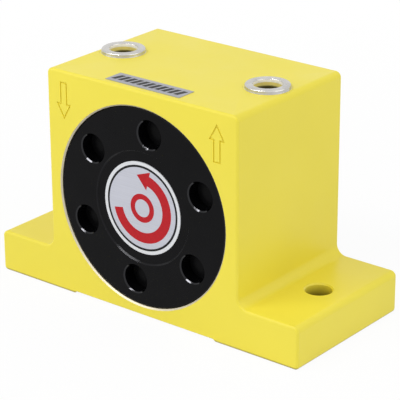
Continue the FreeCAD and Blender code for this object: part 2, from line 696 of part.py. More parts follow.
def make_preload_spring():
    """A wave washer: a thin ring that rises and falls between its bearing and its cover."""
    inner = value("preload_inner_radius")
    outer = value("preload_outer_radius")
    thickness = value("spring_thickness")
    waves = int(value("spring_wave_count"))
    swing = (value("preload_height") - thickness) / 2
    middle = (value("pocket_floor") + value("bearing_outer_face")) / 2
    stations = 8 * waves

    def wave_edge(radius, offset):
        points = []
        for number in range(stations):
            angle = 2 * math.pi * number / stations
            rise = swing * math.cos(waves * angle)
            points.append(V(radius * math.cos(angle), rise + offset, radius * math.sin(angle)))
        curve = Part.BSplineCurve()
        curve.interpolate(points, PeriodicFlag=True)
        return Part.Wire([curve.toShape()])

    edges = [wave_edge(radius, offset) for radius, offset in
             ((inner, -thickness / 2), (outer, -thickness / 2),
              (outer, thickness / 2), (inner, thickness / 2))]
    faces = []
    for number, edge in enumerate(edges):
        following = edges[(number + 1) % len(edges)]
        faces += Part.makeRuledSurface(edge.Edges[0], following.Edges[0]).Faces
    shell = Part.Shell(faces)
    shell.sewShape()
    washer = doc.addObject("Part::Feature", "rear_preload_spring")
    washer.Label = "rear_preload_spring"
    washer.Shape = Part.Solid(shell)
    washer.Placement = FreeCAD.Placement(V(0, middle, value("axis_height")), FreeCAD.Rotation())
    return washer


def make_rotor_wheel():
    """The turbine wheel: hub, web and bucket rim in one piece, bored for slugs on one side."""
    body = new_body("rotor_wheel")
    outward = [
        ("hub_bore_radius", "hub_half"), ("hub_recess_radius", "hub_half"),
        ("hub_recess_radius", "web_half"), ("rim_inner_radius", "web_half"),
        ("rim_inner_radius", "rim_half"), ("tip_radius", "rim_half"),
    ]
    mirrored = [(x, "-" + y) for x, y in reversed(outward)]
    revolve(body, "Wheel", outline_sketch(body, "WheelSection", "XY_Plane", outward + mirrored))

    # A bucket has a steep face for the jet and a hollow back, and stays inside the rim's sides.
    bucket_outline = [("0", "bucket_root_radius"), ("bucket_span", "bucket_open_radius"),
                      ("0", "bucket_open_radius")]
    bucket = outline_sketch(body, "BucketSection", "XZ_Plane", bucket_outline,
                            arcs={0: "bucket_back_radius"})
    first_bucket = pocket(body, "Bucket", bucket, "bucket_width")
    pattern(body, "Buckets", first_bucket, "bucket_count")

    # Through bores in two fans: the lower ones take the slugs, the upper ones stay empty.
    for side, other, tag in (("", "-", "Slug"), ("-", "", "Empty")):
        fan(body, tag + "Bore", side + "slug_start_x", other + "slug_start_z",
            "slug_bore_radius", "slug_count", "slug_spread_angle")
    fan(body, "Lightening", "-lightening_start_x", "lightening_start_z",
        "lightening_radius", "lightening_hole_count", "lightening_spread_angle")

    keyway = outline_sketch(body, "KeywaySection", "XZ_Plane", [
        ("0", "-key_half_width"), ("keyway_top", "-key_half_width"),
        ("keyway_top", "key_half_width"), ("0", "key_half_width"),
    ])
    pocket(body, "Keyway", keyway, "housing_depth")
    bind(body, Placement_Base_z="axis_height")
    return body


def make_slugs():
    """Steel slugs in the lower bores, spread like them."""
    count = int(value("slug_count"))
    slugs = []
    for number in range(count):
        slug = doc.addObject("Part::Cylinder", f"slug_{number + 1}")
        turn = f"Sizes.slug_spread_angle * 1deg * ({number} / (Sizes.slug_count - 1) - 0.5)"
        slug.Placement.Rotation = FreeCAD.Rotation(V(1, 0, 0), 90)
        bind(slug, Radius="slug_radius", Height="slug_length")
        slug.setExpression("Placement.Base.x", f"Derived.slug_circle_radius * sin({turn})")
        slug.setExpression("Placement.Base.y", "Derived.slug_length / 2")
        slug.setExpression("Placement.Base.z", f"-Derived.slug_circle_radius * cos({turn})")
        slugs.append(slug)
    group = doc.addObject("Part::Compound", "imbalance_slugs")
    group.Label = "imbalance_slugs"
    group.Links = slugs
    bind(group, Placement_Base_z="axis_height")
    return group


def make_shaft():
    body = new_body("rotor_shaft")
    outward = [
        ("shaft_radius", "hub_half"), ("circlip_groove_radius", "hub_half"),
        ("circlip_groove_radius", "circlip_groove_end"), ("shaft_radius", "circlip_groove_end"),
        ("shaft_radius", "bearing_inner_face"), ("journal_radius", "bearing_inner_face"),
        ("journal_radius", "shaft_chamfer_face"), ("shaft_chamfer_radius", "shaft_end"),
        ("0", "shaft_end"),
    ]
    mirrored = [(x, "-" + y) for x, y in reversed(outward)]
    revolve(body, "Shaft", outline_sketch(body, "ShaftSection", "XY_Plane", outward + mirrored))
    seat = outline_sketch(body, "KeySeatSection", "XZ_Plane", [
        ("key_bottom", "-key_half_width"), ("keyway_top", "-key_half_width"),
        ("keyway_top", "key_half_width"), ("key_bottom", "key_half_width"),
    ])
    pocket(body, "KeySeat", seat, "key_length")
    bind(body, Placement_Base_z="axis_height")
    return body


def make_key():
    key = doc.addObject("Part::Box", "rotor_key")
    key.Label = "rotor_key"
    bind(key, Length="key_height", Width="key_length", Height="key_width",
         Placement_Base_x="key_bottom")
    key.setExpression("Placement.Base.y", "-Derived.key_length / 2")
    key.setExpression("Placement.Base.z", "Derived.axis_height - Sizes.key_width / 2")
    return key


def make_circlips():
    """Two open rings in the shaft grooves, one against each side of the hub."""
    rings = []
    for side, tag in (("-", "front"), ("", "rear")):
        blank = doc.addObject("Part::Cylinder", tag + "_circlip_blank")
        bind(blank, Radius="circlip_outer_radius", Height="circlip_thickness")
        hole = doc.addObject("Part::Cylinder", tag + "_circlip_hole")
        bind(hole, Radius="circlip_inner_radius", Height="circlip_thickness")
        ring = doc.addObject("Part::Cut", tag + "_circlip_ring")
        ring.Base = blank
        ring.Tool = hole
        opening = doc.addObject("Part::Box", tag + "_circlip_opening")
        bind(opening, Length="circlip_gap", Width="circlip_outer_radius", Height="circlip_thickness")
        opening.setExpression("Placement.Base.x", "-Sizes.circlip_gap / 2")
        clip = doc.addObject("Part::Cut", tag + "_circlip")
        clip.Base = ring
        clip.Tool = opening
        clip.Placement.Rotation = FreeCAD.Rotation(V(1, 0, 0), -90)
        start = "Derived.circlip_start"
        offset = start if tag == "rear" else f"-{start} - Sizes.circlip_thickness"
        clip.setExpression("Placement.Base.y", offset)
        rings.append(clip)
    group = doc.addObject("Part::Compound", "shaft_circlips")
    group.Label = "shaft_circlips"
    group.Links = rings
    bind(group, Placement_Base_z="axis_height")
    return group


NODES = [
    "housing", "front_cover", "rear_cover", "front_cover_oring", "rear_cover_oring",
    "label_disc", "top_label", "inlet_port_bush", "outlet_port_bush", "air_nozzle",
    "front_bearing_outer_ring", "front_bearing_inner_ring", "front_bearing_balls",
    "front_bearing_cage", "front_bearing_seals", "front_bearing_shim",
    "rear_bearing_outer_ring", "rear_bearing_inner_ring", "rear_bearing_balls",
    "rear_bearing_cage", "rear_bearing_seals", "rear_preload_spring",
    "rotor_wheel", "imbalance_slugs", "rotor_shaft", "rotor_key", "shaft_circlips",
]


def build():
    make_housing()
    make_cover("front_cover", turned=False)
    make_cover("rear_cover", turned=True)
    make_oring("front_cover_oring", "-")
    make_oring("rear_cover_oring", "")
    make_labels()
    make_port_bush("inlet_port_bush", "-")
    make_port_bush("outlet_port_bush", "")
    make_air_nozzle()
    make_bearing("front", "-")
    make_bearing("rear", "")
    make_shim()
    make_preload_spring()
    make_rotor_wheel()
    make_slugs()
    make_shaft()
    make_key()
    make_circlips()
    doc.recompute()


def export():
    """Check every object and each node's shape, then write one file for each node."""
    for obj in doc.Objects:
        if "Invalid" in obj.State or "Error" in obj.State:
            raise RuntimeError(f"{obj.Name} failed: {obj.State}")
    by_label = {obj.Label: obj for obj in doc.Objects}
    for node in NODES:
        shape = by_label[node].Shape
        if shape.isNull() or not shape.isValid():
            raise RuntimeError(f"{node} has no valid shape")
    os.makedirs("parts", exist_ok=True)
    for node in NODES:
        shape = by_label[node].Shape
        shape.exportStep(f"parts/{node}.step")
        print(f"{node}: {len(shape.Solids)} solids, {shape.Volume:.1f} mm3")


build()
export()
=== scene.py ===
"""Looks of a pneumatic turbine vibration motor: paint, engraving, prints, threads and studio.

Everything is in metres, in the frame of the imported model: +X along the feet, the labelled
cover towards -Y, +Z up, with the origin in the middle of the base.
"""

import json
import math

import bmesh
import bpy
from bpy.props import FloatProperty, FloatVectorProperty, IntProperty, PointerProperty
from mathutils import Matrix, Vector


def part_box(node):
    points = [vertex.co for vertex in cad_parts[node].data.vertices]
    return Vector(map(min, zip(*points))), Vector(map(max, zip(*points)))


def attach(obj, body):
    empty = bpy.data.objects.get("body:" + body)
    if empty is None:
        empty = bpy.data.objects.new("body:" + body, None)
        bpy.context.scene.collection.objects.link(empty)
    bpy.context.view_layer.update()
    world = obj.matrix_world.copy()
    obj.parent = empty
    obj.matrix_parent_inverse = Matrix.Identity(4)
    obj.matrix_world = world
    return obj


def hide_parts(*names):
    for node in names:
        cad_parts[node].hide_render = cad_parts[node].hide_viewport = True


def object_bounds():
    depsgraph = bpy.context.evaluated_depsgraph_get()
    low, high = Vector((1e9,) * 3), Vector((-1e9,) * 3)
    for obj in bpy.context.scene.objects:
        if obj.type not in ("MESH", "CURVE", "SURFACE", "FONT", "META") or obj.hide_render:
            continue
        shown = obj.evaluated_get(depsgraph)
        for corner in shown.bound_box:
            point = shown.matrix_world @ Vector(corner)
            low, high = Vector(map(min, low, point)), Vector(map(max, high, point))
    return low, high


bl_info = {
    "name": "Turbine vibration motor",
    "version": (1, 0, 0),
    "blender": (4, 5, 0),
    "location": "View3D > Sidebar > Motor",
    "description": "Finishes, engraving, prints, threads and studio of a turbine vibration motor",
    "category": "Object",
}

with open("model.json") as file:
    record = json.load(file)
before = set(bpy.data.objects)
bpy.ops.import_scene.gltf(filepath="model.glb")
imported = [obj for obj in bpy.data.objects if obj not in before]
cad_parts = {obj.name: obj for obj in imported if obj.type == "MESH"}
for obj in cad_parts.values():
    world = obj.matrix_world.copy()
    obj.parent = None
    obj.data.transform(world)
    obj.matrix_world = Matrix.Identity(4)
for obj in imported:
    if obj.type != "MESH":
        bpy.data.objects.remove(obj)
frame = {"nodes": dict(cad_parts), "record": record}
CAD_LOW, CAD_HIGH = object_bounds()
MM = 0.001

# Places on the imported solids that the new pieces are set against.
COVER_LOW, COVER_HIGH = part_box("front_cover")
AXIS_Z = (COVER_LOW.z + COVER_HIGH.z) / 2
COVER_RADIUS = (COVER_HIGH.z - COVER_LOW.z) / 2
FRONT_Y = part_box("housing")[0].y
LABEL_FACE_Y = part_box("label_disc")[0].y
TOP_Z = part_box("housing")[1].z
# The chamfer at the mouth of the bore ends just inside this radius.
BORE_MOUTH_RADIUS = COVER_RADIUS + 0.65 * MM
BOLTS = next(mount for mount in frame["record"]["mounts"] if mount["name"] == "foot_holes")
BOLT_HOLE = (BOLTS["dims"]["spacing_x_mm"] / 2 * MM, 0.0, 0.0)
BOLT_HOLE_RADIUS = BOLTS["dims"]["hole_r_mm"] * MM
FOOT_Z = BOLTS["pos_m"][2]

# The camera is set out from this point in the block, and the lamps face it.
MIDDLE = Vector((0, 0, 40 * MM))
# The photo's width in pixels, and the width of the camera's sensor in millimetres.
PHOTO_PIXELS = 400
SENSOR_WIDTH = 36.0
# A wave texture of scale 1 repeats every 0.314 m.
WAVE_LENGTH = 0.314


def srgb(text):
    """The linear colour, with full alpha, of an sRGB hex value."""
    parts = [int(text[place:place + 2], 16) / 255 for place in (1, 3, 5)]
    return [part / 12.92 if part <= 0.04045 else ((part + 0.055) / 1.055) ** 2.4
            for part in parts] + [1.0]


def length(name, description, millimetres):
    """A length property that a user may change, with its default given in millimetres."""
    return FloatProperty(name=name, description=description, default=millimetres * MM,
                         min=0.0, subtype="DISTANCE", unit="LENGTH", precision=5)


def colour(name, description, text):
    """A colour property with its default given as an sRGB hex value."""
    return FloatVectorProperty(name=name, description=description, default=srgb(text),
                               size=4, min=0.0, max=1.0, subtype="COLOR")


class MotorSizes(bpy.types.PropertyGroup):
    """Sizes of what is engraved, printed, threaded and rounded"""
    arrow_shaft_width: length("Arrow shaft width", "Width of the shaft of each engraved arrow", 3.0)
    arrow_head_width: length("Arrow head width", "Width of the head of each engraved arrow", 6.4)
    arrow_shaft_length: length("Arrow shaft length", "Length of the shaft of each arrow", 7.4)
    arrow_head_length: length("Arrow head length", "Length of the head of each arrow", 5.6)
    groove_width: length("Groove width", "Width of the engraved line", 0.5)
    groove_depth: length("Groove depth", "Depth of the engraved line", 0.4)
    print_thickness: length("Print thickness", "Thickness of the ink on both labels", 0.03)
    ring_line_radius: length("Ring line radius", "Outer radius of the line round the disc", 14.9)
    ring_line_width: length("Ring line width", "Width of the line round the disc", 0.75)
    turn_mark_radius: length("Turn mark radius", "Outer radius of the curved arrow", 12.2)
    turn_mark_width: length("Turn mark width", "Width of the curved arrow's band", 3.6)
    hub_mark_radius: length("Hub mark radius", "Outer radius of the ring in the middle", 5.0)
    hub_mark_width: length("Hub mark width", "Width of the ring in the middle", 1.9)
    hatch_height: length("Hatch height", "Height of the slanted bars on the strip", 4.1)
    hatch_width: length("Hatch width", "Width of each slanted bar on the strip", 1.7)
    hatch_spacing: length("Hatch spacing", "Distance from one slanted bar to the next", 2.6)
    hatch_slant: length("Hatch slant", "Sideways lean of each bar over its height", 1.2)
    thread_pitch: length("Thread pitch", "Pitch of the G1/8 thread in the port bushes", 0.907)
    thread_major_radius: length("Thread major radius", "Radius at the roots of the thread", 4.864)
    thread_minor_radius: length("Thread minor radius", "Radius at the crests of the thread", 4.283)
    mouth_radius: length("Mouth radius", "Radius of the chamfered mouth of each port", 5.083)
    edge_break: length("Edge break", "Width of the softened edges of the turned bushes", 0.14)
    painted_margin: length("Painted margin", "Rim of each bush that is painted over", 0.6)
    plated_depth: length("Plated depth", "How far the nickel reaches down each port's bore", 1.2)
    block_width: length("Block width", "Width of the block above its feet", 80)
    face_edge: length("Face edge", "Radius of the edges round the front and rear faces", 1.0)
    hatch_count: IntProperty(name="Hatch count", description="Number of slanted bars on the strip",
                             default=11, min=1, max=20)


class MotorColours(bpy.types.PropertyGroup):
    """Colours of the finishes"""
    paint: colour("Paint", "Yellow enamel of the housing", "#f2e248")
    anodising: colour("Anodising", "Black anodised covers", "#08080a")
    disc_foil: colour("Disc foil", "Silver foil of the round label", "#dcdee2")
    disc_lacquer: colour("Disc lacquer", "Tinted face inside the disc's ring line", "#c3c5d0")
    strip_foil: colour("Strip foil", "Grey foil of the strip label", "#9b9ca5")
    red_ink: colour("Red ink", "Red print on the disc", "#b8121f")
    black_ink: colour("Black ink", "Black print on both labels", "#0c0d10")
    gold_anodising: colour("Gold anodising", "Turbine wheel", "#c9a548")


class StudioSettings(bpy.types.PropertyGroup):
    """Where the camera stands, and how much light there is"""
    azimuth: FloatProperty(name="Azimuth", description="Angle of the camera round the motor",
                           default=math.radians(38.84), subtype="ANGLE", unit="ROTATION")
    elevation: FloatProperty(name="Elevation", description="Angle of the camera above the floor",
                             default=math.radians(22.20), subtype="ANGLE", unit="ROTATION")
    roll: FloatProperty(name="Roll", description="Tilt of the picture",
                        default=math.radians(-0.30), subtype="ANGLE", unit="ROTATION")
    distance: length("Distance", "Distance of the camera from the middle of the block", 657.6)
    side_shift: length("Side shift", "Sideways step of the camera", 1.86)
    up_shift: FloatProperty(name="Up shift", description="Upward step of the camera",
                            default=-6.13 * MM, subtype="DISTANCE", unit="LENGTH", precision=5)
    focus_pixels: FloatProperty(name="Focal length in pixels", default=1950.0,
                                description="Focal length measured in pixels of a 400 pixel image")
    sky_strength: FloatProperty(name="Sky strength", description="Even light from all sides",
                                default=0.50, min=0.0)
    key_power: FloatProperty(name="Key power", description="Strip box high in front, in watts",
                             default=8.2, min=0.0)
    top_power: FloatProperty(name="Top power", description="Soft box above the motor, in watts",
                             default=1.2, min=0.0)
    left_power: FloatProperty(name="Left power", description="Soft box at the left, in watts",
                              default=3.7, min=0.0)
    right_power: FloatProperty(name="Right power", description="Soft box at the right, in watts",
                               default=5.4, min=0.0)


# Modelling helpers

def deselect_all():
    """Leave edit mode and deselect every object."""
    if bpy.context.mode != "OBJECT":
        bpy.ops.object.mode_set(mode="OBJECT")
    bpy.ops.object.select_all(action="DESELECT")


def pick(pieces):
    """Select only these pieces, outside edit mode, and make the first of them active."""
    deselect_all()
    for piece in pieces:
        piece.select_set(True)
    bpy.context.view_layer.objects.active = pieces[0]


def start_piece(add_primitive, **settings):
    """Deselect everything, then add a primitive and open it in edit mode."""
    deselect_all()
    add_primitive(enter_editmode=True, **settings)
    return bpy.context.edit_object


def choose(kind, accepts):
    """Select those vertices, edges or faces of the open mesh that a test accepts."""
    mesh = bmesh.from_edit_mesh(bpy.context.edit_object.data)
    bpy.ops.mesh.select_mode(type={"verts": "VERT", "edges": "EDGE", "faces": "FACE"}[kind])
    bpy.ops.mesh.select_all(action="DESELECT")
    for element in getattr(mesh, kind):
        if accepts(element):
            element.select_set(True)
    mesh.select_flush_mode()
    bmesh.update_edit_mesh(bpy.context.edit_object.data)


def close_piece(piece, name, body, materials=()):
    """Leave edit mode, put the place in the mesh, and give the piece its name and finish."""
    pick([piece])
    bpy.ops.object.transform_apply(location=True, rotation=True, scale=True)
    bpy.ops.object.shade_smooth_by_angle(angle=math.radians(35))
    piece.name = name
    piece.data.name = name
    for material in materials:
        piece.data.materials.append(material)
    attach(piece, body)


def apply_modifier(piece, kind, **settings):
    """Leave edit mode, add a modifier to the piece and apply it at once."""
    pick([piece])
    modifier = piece.modifiers.new(kind.title(), kind)
    for setting, content in settings.items():
        setattr(modifier, setting, content)
    bpy.ops.object.modifier_apply(modifier=modifier.name)


def join_pieces(pieces):
    """Leave edit mode and join pieces into the first of them."""
    pick(pieces)
    bpy.ops.object.transform_apply(location=True, rotation=True, scale=True)
    bpy.ops.object.join()
    return pieces[0]


def draw_outline(corners):
    """Open a mesh whose one face has these corners.

    A plane is merged to one point, which is moved to the first corner and extruded along the rest.
    """
    piece = start_piece(bpy.ops.mesh.primitive_plane_add, size=MM)
    bpy.ops.mesh.select_mode(type="VERT")
    bpy.ops.mesh.select_all(action="SELECT")
    bpy.ops.mesh.merge(type="CENTER")
    bpy.ops.transform.translate(value=corners[0])
    for before, after in zip(corners, corners[1:]):
        bpy.ops.mesh.extrude_region_move(TRANSFORM_OT_translate={"value": after - before})
    bpy.ops.mesh.select_all(action="SELECT")
    bpy.ops.mesh.edge_face_add()
    return piece


def keep_rim(width):
    """Inset the chosen face and take its middle away, so that a line of this width is left."""
    bpy.ops.mesh.inset(thickness=width, use_even_offset=True)
    bpy.ops.mesh.delete(type="FACE")


def thicken(offset):
    """Extrude all of the open flat mesh by an offset, and make its faces point outwards."""
    bpy.ops.mesh.select_all(action="SELECT")
    bpy.ops.mesh.extrude_region_move(TRANSFORM_OT_translate={"value": offset})
    bpy.ops.mesh.select_all(action="SELECT")
    bpy.ops.mesh.normals_make_consistent(inside=False)


def merged_copy(node):
    """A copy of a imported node's mesh with its doubled corners merged."""
    piece = bpy.data.objects.new(node + "_copy", frame["nodes"][node].data.copy())
    bpy.context.scene.collection.objects.link(piece)
    pick([piece])
    bpy.ops.mesh.customdata_custom_splitnormals_clear()
    bpy.ops.object.mode_set(mode="EDIT")
    bpy.ops.mesh.select_all(action="SELECT")
    bpy.ops.mesh.remove_doubles(threshold=1e-6)
    bpy.ops.object.mode_set(mode="OBJECT")
    piece.data.materials.clear()
    return piece


def around_axis(point):
    """Distance of a point from the bore axis."""
    return math.hypot(point.x, point.z - AXIS_Z)


# Materials

def add_node(tree, kind, settings=(), links=()):
    """Add a node, set its attributes or socket values by name, and link sockets to outputs."""
    node = tree.nodes.new(kind)
    for key, content in dict(settings).items():
        if isinstance(key, str) and hasattr(node, key):
            setattr(node, key, content)
        else:
            node.inputs[key].default_value = content
    for key, output in dict(links).items():
        tree.links.new(output, node.inputs[key])
    return node


def start_material(name, **values):
    """A material with its shader and Object coordinates; values go on the shader's sockets."""
    material = bpy.data.materials.new(name)
    material.use_nodes = True
    tree = material.node_tree
    shader = tree.nodes["Principled BSDF"]
    for key, content in values.items():
        shader.inputs[key.replace("_", " ")].default_value = content
    place = add_node(tree, "ShaderNodeTexCoord").outputs["Object"]
    return material, tree, shader, place


def feed(tree, shader, **outputs):
    """Link outputs to the shader's sockets of those names."""
    for key, output in outputs.items():
        tree.links.new(output, shader.inputs[key.replace("_", " ")])


def wandering(tree, place, spacing, low, high, detail=2.0):
    """A value that wanders between low and high over the given spacing."""
    noise = add_node(tree, "ShaderNodeTexNoise", {"Scale": 1 / spacing, "Detail": detail},
                     {"Vector": place})
    return add_node(tree, "ShaderNodeMapRange",
                    {"From Min": 0.3, "From Max": 0.7, "To Min": low, "To Max": high},
                    {"Value": noise.outputs["Fac"]}).outputs["Result"]


def from_axis(tree, place):
    """The distance from the bore axis."""
    flat = add_node(tree, "ShaderNodeMapping",
                    {"Location": (0, 0, -AXIS_Z), "Scale": (1, 0, 1)}, {"Vector": place})
    return add_node(tree, "ShaderNodeVectorMath", {"operation": "LENGTH"},
                    {0: flat.outputs["Vector"]}).outputs["Value"]


def turned_lines(tree, place, spacing):
    """Fine rings round the bore axis, the given spacing apart, as a lathe tool leaves them."""
    centred = add_node(tree, "ShaderNodeMapping", {"Location": (0, 0, -AXIS_Z)}, {"Vector": place})
    return add_node(tree, "ShaderNodeTexWave",
                    {"wave_type": "RINGS", "rings_direction": "Y", "Scale": WAVE_LENGTH / spacing,
                     "Distortion": 1.2, "Detail": 2.0, "Detail Scale": 0.6},
                    {"Vector": centred.outputs["Vector"]}).outputs["Fac"]


def yellow_enamel():
    """Baked enamel, sprayed on machined aluminium: satin, with a faint orange peel."""
    paint = bpy.context.scene.motor_colours.paint
    material, tree, shader, place = start_material("yellow_enamel", IOR=1.5,
                                                   Specular_IOR_Level=0.38)
    # The coat is a little thicker and deeper in colour in places, over about 40 mm.
    shade = add_node(tree, "ShaderNodeHueSaturation", {"Color": paint},
                     {"Value": wandering(tree, place, 40 * MM, 0.985, 1.015)})
    # Painted shade: 1 to 4 mm down in the bolt holes the coat darkens, standing in for the shade
    # deep in them.
    spot = add_node(tree, "ShaderNodeSeparateXYZ", {}, {0: place})
    side = add_node(tree, "ShaderNodeMath", {"operation": "ABSOLUTE"}, {0: spot.outputs["X"]})
    flat = add_node(tree, "ShaderNodeCombineXYZ", {},
                    {"X": side.outputs[0], "Y": spot.outputs["Y"]})
    reach = add_node(tree, "ShaderNodeVectorMath", {"operation": "DISTANCE", 1: BOLT_HOLE},
                     {0: flat.outputs[0]})
    inside = add_node(tree, "ShaderNodeMath",
                      {"operation": "LESS_THAN", 1: BOLT_HOLE_RADIUS + 0.1 * MM},
                      {0: reach.outputs["Value"]})
    depth = add_node(tree, "ShaderNodeMapRange",
                     {"From Min": FOOT_Z - 1 * MM, "From Max": FOOT_Z - 4 * MM, "To Max": 0.75},
                     {"Value": spot.outputs["Z"]})
    hole_shade = add_node(tree, "ShaderNodeMath", {"operation": "MULTIPLY"},
                    {0: inside.outputs[0], 1: depth.outputs["Result"]})
    # Painted shade: the lowest millimetre along the base darkens, standing in for the contact
    # shadow there.
    base_shade = add_node(tree, "ShaderNodeMapRange",
                      {"From Min": 1.1 * MM, "From Max": 0.5 * MM, "To Max": 0.7},
                      {"Value": spot.outputs["Z"]})
    # The painted shade in the bolt holes and along the base mixes the paint towards dark olive.
    painted_shade = add_node(tree, "ShaderNodeMath", {"operation": "MAXIMUM"},
                    {0: hole_shade.outputs[0], 1: base_shade.outputs["Result"]})
    coat = add_node(tree, "ShaderNodeMix", {"data_type": "RGBA", 7: srgb("#6e5c14")},
                    {0: painted_shade.outputs[0], 6: shade.outputs["Color"]})
    # Orange peel has waves of about 1.5 mm. Nibs of dust, 0.8 mm wide, stand about 14 mm apart.
    dust = add_node(tree, "ShaderNodeTexVoronoi", {"Scale": 1 / (14 * MM)}, {"Vector": place})
    nibs = add_node(tree, "ShaderNodeMapRange", {"From Max": 0.03, "To Min": 1.0, "To Max": 0.0},
                    {"Value": dust.outputs["Distance"]})
    height = add_node(tree, "ShaderNodeMath", {"operation": "ADD"},
                      {0: wandering(tree, place, 1.5 * MM, 0.0, 1.0), 1: nibs.outputs["Result"]})
    bump = add_node(tree, "ShaderNodeBump", {"Strength": 0.35, "Distance": 0.04 * MM},
                    {"Height": height.outputs[0]})
    feed(tree, shader, Base_Color=coat.outputs[2], Normal=bump.outputs["Normal"],
         Roughness=wandering(tree, place, 12 * MM, 0.34, 0.42))
    return material


def bare_aluminium():
    """Aluminium cut after painting: dull silver, with the fine lines of the boring tool."""
    material, tree, shader, place = start_material("bare_aluminium", Metallic=1.0)
    # A film of oxide and oil leaves it a little uneven, over about 6 mm.
    shade = add_node(tree, "ShaderNodeHueSaturation", {"Color": srgb("#d3cbb3")},
                     {"Value": wandering(tree, place, 6 * MM, 0.92, 1.06)})
    # The lines of the tool stand 0.3 mm apart.
    lines = turned_lines(tree, place, 0.3 * MM)
    roughness = add_node(tree, "ShaderNodeMapRange", {"To Min": 0.5, "To Max": 0.6},
                         {"Value": lines})
    bump = add_node(tree, "ShaderNodeBump", {"Strength": 0.3, "Distance": 0.02 * MM},
                    {"Height": lines})
    feed(tree, shader, Base_Color=shade.outputs["Color"], Roughness=roughness.outputs["Result"],
         Normal=bump.outputs["Normal"])
    return material


def black_anodised():
    """Black anodised aluminium, turned on a lathe: deep black and silky, with bright edges."""
    black = bpy.context.scene.motor_colours.anodising
    material, tree, shader, place = start_material("black_anodised", IOR=1.6,
                                                   Specular_IOR_Level=0.06)
    shade = add_node(tree, "ShaderNodeHueSaturation", {"Color": black},
                     {"Value": wandering(tree, place, 6 * MM, 0.85, 1.15)})
    # The edges were broken at 45 degrees and polished: dye takes thinly there, and metal shines.
    facing = add_node(tree, "ShaderNodeSeparateXYZ", {},
                      {0: add_node(tree, "ShaderNodeTexCoord").outputs["Normal"]})
    slope = add_node(tree, "ShaderNodeMath", {"operation": "ABSOLUTE"}, {0: facing.outputs["Y"]})
    slanted = add_node(tree, "ShaderNodeMath",
                       {"operation": "COMPARE", 1: math.cos(math.radians(45)), 2: 0.1},
                       {0: slope.outputs[0]})
    # The step round the label, within 20 mm of the axis, is duller than the edges further out.
    shine = add_node(tree, "ShaderNodeMapRange",
                     {"From Min": 19.5 * MM, "From Max": 20.5 * MM, "To Min": 0.3},
                     {"Value": from_axis(tree, place)})
    edge = add_node(tree, "ShaderNodeMath", {"operation": "MULTIPLY"},
                    {0: slanted.outputs[0], 1: shine.outputs["Result"]})
    worn = add_node(tree, "ShaderNodeMix", {"data_type": "RGBA", 7: srgb("#323234")},
                    {0: edge.outputs[0], 6: shade.outputs["Color"]})
    # Tool marks stand 0.1 mm apart; they are drawn 0.5 mm apart, to show at this size.
    lines = turned_lines(tree, place, 0.5 * MM)
    silky = add_node(tree, "ShaderNodeMapRange", {"To Min": 0.2, "To Max": 0.28},
                     {"Value": lines})
    roughness = add_node(tree, "ShaderNodeMath", {"operation": "MULTIPLY_ADD", 1: -0.16},
                         {0: edge.outputs[0], 2: silky.outputs["Result"]})
    bump = add_node(tree, "ShaderNodeBump", {"Strength": 0.12, "Distance": 0.01 * MM},
                    {"Height": lines})
    feed(tree, shader, Base_Color=worn.outputs[2], Metallic=edge.outputs[0],
         Roughness=roughness.outputs[0], Normal=bump.outputs["Normal"])
    return material


def label_foil(name, silver, lacquer, lacquer_radius):
    """Self-adhesive aluminium foil with a clear coat: silver, finely brushed along its length."""
    material, tree, shader, place = start_material(
        name, Metallic=0.35, Coat_Weight=0.25, Coat_Roughness=0.12)
    # A tinted lacquer covers the foil as far as a radius round the bore axis.
    inside = add_node(tree, "ShaderNodeMath", {"operation": "LESS_THAN", 1: lacquer_radius},
                      {0: from_axis(tree, place)})
    face = add_node(tree, "ShaderNodeMix", {"data_type": "RGBA", 6: silver, 7: lacquer},
                    {0: inside.outputs[0]})
    # Brush marks are 15 mm long; they are drawn 0.3 mm wide, to show at this size.
    marks = (1 / (15 * MM), 1 / (0.3 * MM), 1 / (0.3 * MM))
    stretched = add_node(tree, "ShaderNodeMapping", {"Scale": marks}, {"Vector": place})
    brush = add_node(tree, "ShaderNodeTexNoise", {"Scale": 1.0, "Detail": 2.0},
                     {"Vector": stretched.outputs["Vector"]}).outputs["Fac"]
    value = add_node(tree, "ShaderNodeMapRange", {"To Min": 0.9, "To Max": 1.1}, {"Value": brush})
    shade = add_node(tree, "ShaderNodeHueSaturation", {},
                     {"Color": face.outputs[2], "Value": value.outputs["Result"]})
    bump = add_node(tree, "ShaderNodeBump", {"Strength": 0.08, "Distance": 0.01 * MM},
                    {"Height": brush})
    feed(tree, shader, Base_Color=shade.outputs["Color"], Normal=bump.outputs["Normal"],
         Roughness=wandering(tree, place, 4 * MM, 0.30, 0.40))
    return material


def screen_ink(name, ink):
    """Screen-printed ink: an even, slightly grainy film."""
    material, tree, shader, place = start_material(name, IOR=1.5, Specular_IOR_Level=0.2)
    # The screen's weave leaves a grain of 0.2 mm. To show at this size it is drawn 0.9 mm wide in
    # the colour and 0.4 mm wide in the surface.
    shade = add_node(tree, "ShaderNodeHueSaturation", {"Color": ink},
                     {"Value": wandering(tree, place, 0.9 * MM, 0.93, 1.07, 3.0)})
    bump = add_node(tree, "ShaderNodeBump", {"Strength": 0.1, "Distance": 0.01 * MM},
                    {"Height": wandering(tree, place, 0.4 * MM, 0.0, 1.0)})
    feed(tree, shader, Base_Color=shade.outputs["Color"], Normal=bump.outputs["Normal"],
         Roughness=wandering(tree, place, 2 * MM, 0.36, 0.46))
    return material


